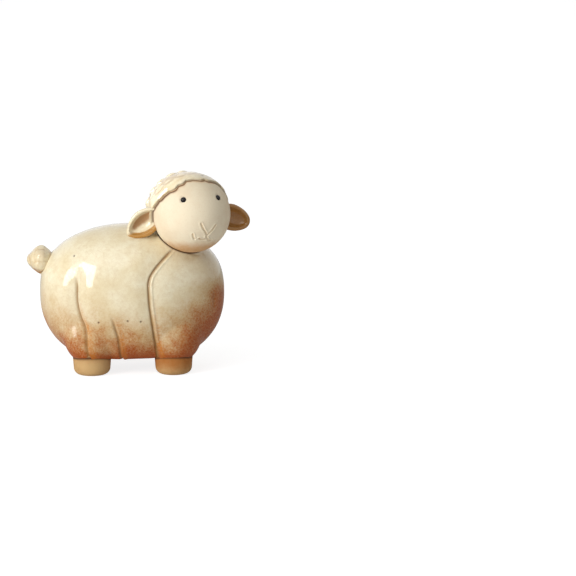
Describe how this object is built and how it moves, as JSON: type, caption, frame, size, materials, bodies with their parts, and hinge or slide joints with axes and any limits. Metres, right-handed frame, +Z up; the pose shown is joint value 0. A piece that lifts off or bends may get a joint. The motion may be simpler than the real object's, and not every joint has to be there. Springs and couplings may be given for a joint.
{
  "type": "sheep figurine",
  "caption": "Hollow glazed pottery sheep that stands on four stub feet and looks round to one side, with a matt face, cupped ears and a knobbly wool head and tail.",
  "frame": {"origin": "middle of the overall outline, on the level of the soles", "axes": "+X the way the body faces, +Y the sheep's left, +Z up"},
  "size_m": [0.1212, 0.068, 0.1103],
  "materials": {
    "cream_glaze": "glossy cream crackle glaze, flashed rusty brown towards the belly",
    "amber_glaze": "glossy cream glaze pooled to amber",
    "bare_clay": "matt unglazed clay",
    "stained_clay": "matt unglazed clay with rusty stains",
    "black_glaze": "glossy black"
  },
  "bodies": {
    "root": {"body_shell": "cream_glaze", "head_shell": "cream_glaze", "face_mask": "bare_clay", "left_ear": "amber_glaze", "right_ear": "amber_glaze", "left_eye": "black_glaze", "right_eye": "black_glaze", "fringe_curls": "cream_glaze", "crown_curls": "cream_glaze", "back_curls": "cream_glaze", "tail": "amber_glaze", "front_left_foot": "stained_clay", "front_right_foot": "stained_clay", "rear_left_foot": "stained_clay", "rear_right_foot": "stained_clay"}
  },
  "joints": []
}
